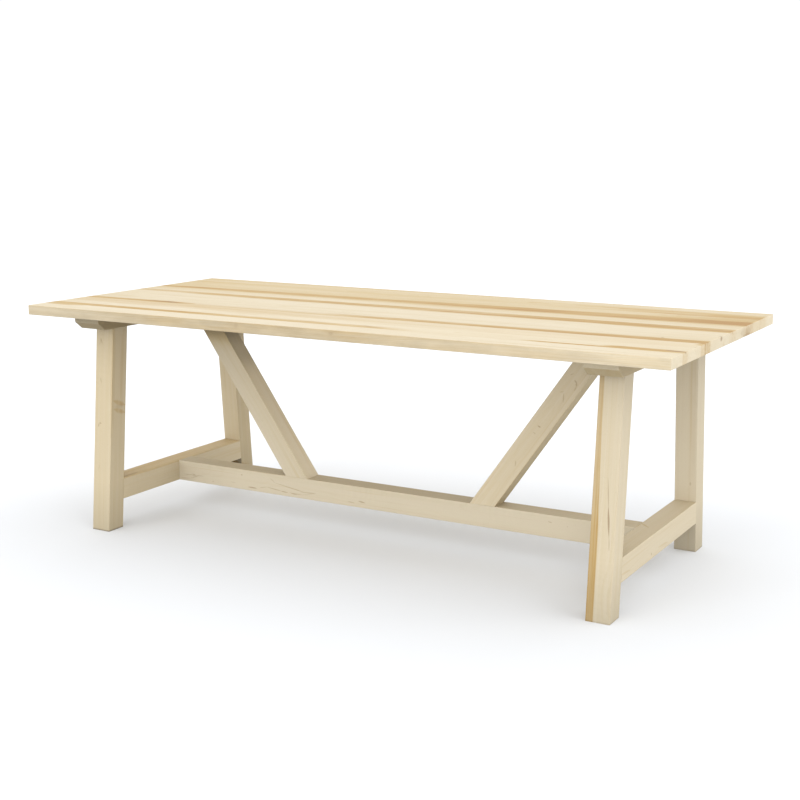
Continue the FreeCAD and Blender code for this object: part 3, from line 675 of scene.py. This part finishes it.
def dress_head_beams():
    """Painted shade on the bevels at both ends and over each beam, deepest on the left beam, which
    is browner.
    """
    for seed, node, tan, shade, painted_bevel_shade, side_tan in (
        (21.0, "head_beam_left", 1.10, 0.61, 0.96, 0.0),
        (22.0, "head_beam_right", 0.40, 0.90, 0.90, 0.20),
    ):
        piece = Piece(node, grain=BACK, face=DOWN)
        # Painted shade over the whole beam, deepest on the left one.
        piece.shade = shade
        # Painted shade on the down-facing bevels at both ends.
        for bevel in ((0, -0.6, -0.8), (0, 0.6, -0.8)):
            piece.face_tone_and_painted_shade(bevel, tan=0.4, shade=painted_bevel_shade)
        piece.face_tone_and_painted_shade(RIGHT, tan=side_tan)
        piece.finish(seed, pith=(0.020, -0.060), tan=tan)


def dress_cross_stretcher_left():
    """Tan, with amber and a dark line at its left side and a short dark streak on top."""
    piece = Piece("cross_stretcher_left", grain=BACK, face=RIGHT)
    piece.band(LEFT, 0.014, 0.30, soft=0.003, line=0.5)
    piece.band(UP, 0.004, 0.40, soft=0.001)
    piece.shade = 1.03
    piece.face_tone_and_painted_shade(UP, tan=0.14, shade=1.11)
    piece.mark(on_stretcher(-0.871, -0.330), on_stretcher(-0.871, -0.245), 0.009, 0.40)
    piece.finish(seed=23.0, pith=(0.050, -0.060), tan=0.32)


def dress_cross_stretcher_right():
    """Short amber streaks on its top and outer side, and one small knot."""
    piece = Piece("cross_stretcher_right", grain=BACK, face=RIGHT)
    piece.face_tone_and_painted_shade(UP, tan=0.15, shade=0.97)
    piece.marks(on_stretcher, (
        ((0.858, -0.036), (0.858, 0.024), 0.006, 0.60),
        ((0.858, 0.020), (0.893, -0.016), 0.006, 0.50),
    ), piece.heartwood)
    piece.marks(outside_right_stretcher, (
        ((-0.345, 0.121), (-0.265, 0.115), 0.005, 0.35),
        ((-0.030, 0.117), (0.060, 0.111), 0.006, 0.30),
    ), piece.heartwood)
    piece.knot(outside_right_stretcher(-0.089, 0.113), (0.006, 0.006, 0.006), 0.40)
    piece.finish(seed=24.0, pith=(-0.060, -0.050), tan=0.14)


def dress_long_stretcher():
    """Pale, with many fine streaks and two small knots in front."""
    piece = Piece("long_stretcher", grain=RIGHT, face=FRONT)
    # Painted shade on its top face, which is also more tan.
    piece.face_tone_and_painted_shade(UP, tan=0.45, shade=0.88)
    piece.marks(on_spine, (
        ((-0.854, 0.1035), (-0.809, 0.1080), 0.0024, 0.40),
        ((-0.840, 0.1204), (-0.790, 0.1213), 0.0020, 0.35),
        ((-0.838, 0.1150), (-0.798, 0.1240), 0.0018, 0.35),
        ((-0.809, 0.1086), (-0.767, 0.1223), 0.0020, 0.35),
        ((-0.800, 0.1190), (-0.780, 0.1200), 0.0020, 0.35),
        ((-0.800, 0.1260), (-0.784, 0.1220), 0.0030, 0.45),
        ((-0.785, 0.1216), (-0.748, 0.1228), 0.0020, 0.35),
        ((-0.712, 0.1090), (-0.702, 0.1085), 0.0020, 0.35),
        ((-0.630, 0.1180), (-0.608, 0.1170), 0.0022, 0.20),
        ((-0.555, 0.1090), (-0.518, 0.1085), 0.0030, 0.50),
        ((-0.505, 0.1130), (-0.475, 0.1190), 0.0020, 0.35),
        ((-0.475, 0.1190), (-0.412, 0.1120), 0.0024, 0.35),
        ((-0.462, 0.1530), (-0.440, 0.1380), 0.0022, 0.25),
        ((-0.440, 0.1380), (-0.317, 0.1200), 0.0024, 0.35),
        ((-0.415, 0.1120), (-0.388, 0.1105), 0.0030, 0.45),
        ((-0.381, 0.1115), (-0.327, 0.1099), 0.0020, 0.35),
        ((-0.375, 0.1105), (-0.350, 0.1085), 0.0028, 0.40),
        ((-0.335, 0.1180), (-0.273, 0.1235), 0.0022, 0.30),
        ((-0.327, 0.1099), (-0.272, 0.1235), 0.0020, 0.30),
        ((-0.146, 0.1125), (-0.120, 0.1110), 0.0024, 0.30),
        ((-0.104, 0.1190), (-0.078, 0.1155), 0.0036, 0.50),
        ((0.578, 0.1480), (0.592, 0.1450), 0.0024, 0.35),
    ))
    piece.knot(on_spine(-0.581, 0.1490), (0.004, 0.003, 0.006), 0.50)
    piece.knot(on_spine(0.643, 0.1400), (0.003, 0.002, 0.006), 0.30)
    piece.finish(seed=25.0, pith=(0.030, -0.070), tan=-0.10)


def dress_brace_left():
    """Painted shade, darker and browner, in the corner under the top."""
    piece = Piece("brace_left", UP_LEFT_BRACE, FRONT)
    g = piece.graph
    height = g.parts(piece.place)[2]
    # Painted shade on its front, browner and darker near the top.
    painted_warm_shade = g.ramp(height, 0.575, 0.660, 0.0, 1.1)
    piece.face_tone_and_painted_shade(FRONT, tan=painted_warm_shade, shade=g.ramp(height, 0.602, 0.680, 1.0, 0.40))
    # Painted shade on its upper face, deepening towards the top.
    upper_face = (math.sin(BRACE_ANGLE), 0, math.cos(BRACE_ANGLE))
    piece.face_tone_and_painted_shade(upper_face, shade=1.15, changes=[(0.09, 0.82), (0.205, 0.36)], fade=0.055)
    piece.finish(seed=26.0, pith=(0.050, -0.050), tan=0.06)


def dress_brace_right():
    """Painted shade a little darker under the top, its lower face more tan and darker, with small
    streaks in front.
    """
    piece = Piece("brace_right", UP_RIGHT_BRACE, FRONT)
    # Its front a little lighter, with painted shade at the top end.
    piece.face_tone_and_painted_shade(FRONT, shade=1.07, changes=[(0.25, 0.95)], fade=0.04)
    lower_face = (math.sin(BRACE_ANGLE), 0, -math.cos(BRACE_ANGLE))
    piece.face_tone_and_painted_shade(lower_face, tan=0.5, shade=0.93)
    piece.marks(on_spine, (
        ((0.6540, 0.5975), (0.6610, 0.5880), 0.0036, 0.38),
        ((0.6610, 0.5890), (0.6600, 0.5780), 0.0036, 0.42),
        ((0.6605, 0.5800), (0.6540, 0.5640), 0.0030, 0.25),
        ((0.6390, 0.6110), (0.6510, 0.6170), 0.0026, 0.30),
        ((0.6080, 0.5560), (0.6200, 0.5590), 0.0024, 0.25),
        ((0.6205, 0.5540), (0.6185, 0.5240), 0.0026, 0.35),
        ((0.5370, 0.4450), (0.5470, 0.4410), 0.0030, 0.50),
        ((0.5220, 0.4240), (0.5310, 0.4180), 0.0024, 0.25),
        ((0.4665, 0.3270), (0.4645, 0.3080), 0.0026, 0.30),
    ))
    piece.finish(seed=27.0, pith=(0.010, -0.060), tan=0.16)


def dress_loose_tenons():
    """The same maple, hidden in the joints of the top."""
    piece = Piece("loose_tenons", grain=BACK, face=UP)
    piece.finish(seed=31.0, pith=(0.050, -0.050), tan=0.5)


def dress_hardware():
    """Zinc-plated screws and washers, dull in patches."""
    for node in ("top_screws", "top_washers", "brace_screws"):
        material = bpy.data.materials.new(node)
        material.use_nodes = True
        g = Graph(material.node_tree)
        shader = material.node_tree.nodes["Principled BSDF"]
        place = material.node_tree.nodes.new("ShaderNodeTexCoord").outputs["Object"]
        grime = g.noise(g.scaled(place, 900.0), detail=4.0)
        g.feed(shader.inputs["Base Color"], g.blend(grime, ZINC, DULL_ZINC))
        g.feed(shader.inputs["Roughness"], g.ramp(grime, 0.3, 0.7, 0.25, 0.5))
        g.feed(shader.inputs["Metallic"], 1.0)
        wear(node, material)


dress_board_1()
dress_board_2()
dress_board_3()
dress_board_4()
dress_board_5()
dress_board_6()
dress_board_7()
dress_leg_front_left()
dress_leg_front_right()
dress_leg_back_left()
dress_leg_back_right()
dress_head_beams()
dress_cross_stretcher_left()
dress_cross_stretcher_right()
dress_long_stretcher()
dress_brace_left()
dress_brace_right()
dress_loose_tenons()
dress_hardware()


# The studio, as in the photo.
TO_BACK_OF_ROOM = (-0.500, 0.866, 0.0)


def make_floor():
    """A pale floor that looks endless and glows with painted light, brighter towards the back of the
    room.
    """
    bpy.ops.mesh.primitive_circle_add(vertices=96, radius=60.0, fill_type="NGON")
    floor = bpy.context.object
    floor.name = "floor"
    material = bpy.data.materials.new("floor")
    material.use_nodes = True
    g = Graph(material.node_tree)
    shader = material.node_tree.nodes["Principled BSDF"]
    place = material.node_tree.nodes.new("ShaderNodeTexCoord").outputs["Object"]
    backward = g.dot(place, TO_BACK_OF_ROOM)
    feeds = {
        "Base Color": FLOOR,
        "Roughness": 1.0,
        "Specular IOR Level": 0.0,
        # Painted light: the floor glows, which lifts its shadows, and glows more towards the back,
        # where the table's shadow falls.
        "Emission Color": WHITE,
        "Emission Strength": g.ramp(backward, 0.05, 0.95, 0.115, 0.215),
    }
    for name, value in feeds.items():
        g.feed(shader.inputs[name], value)
    floor.data.materials.append(material)


def make_lights():
    """A white room with five broad softboxes: the energy of each and the way to it."""
    world = bpy.data.worlds.new("studio")
    world.use_nodes = True
    background = world.node_tree.nodes["Background"]
    background.inputs["Color"].default_value = (*WHITE, 1.0)
    background.inputs["Strength"].default_value = 1.04
    bpy.context.scene.world = world

    softboxes = {
        "above": (0.40, (0.0, 0.0, 1.0)),
        "front": (1.66, (0.0, -1.0, 0.5)),
        "right": (1.42, (1.0, 0.0, 0.5)),
        "left": (0.12, (-1.0, 0.0, 0.5)),
        "behind": (0.40, (0.0, 1.0, 0.7)),
    }
    broad = math.radians(70)
    for name, (energy, source) in softboxes.items():
        sun = bpy.data.lights.new(name, "SUN")
        sun.energy = energy
        sun.angle = broad
        lamp = bpy.data.objects.new(name, sun)
        lamp.rotation_mode = "QUATERNION"
        lamp.rotation_quaternion = Vector(source).to_track_quat("Z", "Y")
        bpy.context.scene.collection.objects.link(lamp)


def make_camera():
    """The photo's viewpoint: in front and to the right, above the top, looking a little down."""
    degrees_down = 10.493
    degrees_turned = 29.996
    camera = bpy.data.cameras.new("camera")
    camera.sensor_width = 36.0
    camera.lens = 61.08
    camera.shift_x = 0.0183
    camera.shift_y = -0.0159
    camera.clip_end = 200.0
    holder = bpy.data.objects.new("camera", camera)
    holder.location = (2.1636, -3.7849, 1.3164)
    holder.rotation_euler = (math.radians(90.0 - degrees_down), 0.0, math.radians(degrees_turned))
    bpy.context.scene.collection.objects.link(holder)
    bpy.context.scene.camera = holder


make_floor()
make_lights()
make_camera()
bpy.context.scene.view_settings.view_transform = "Standard"

bpy.context.view_layer.update()
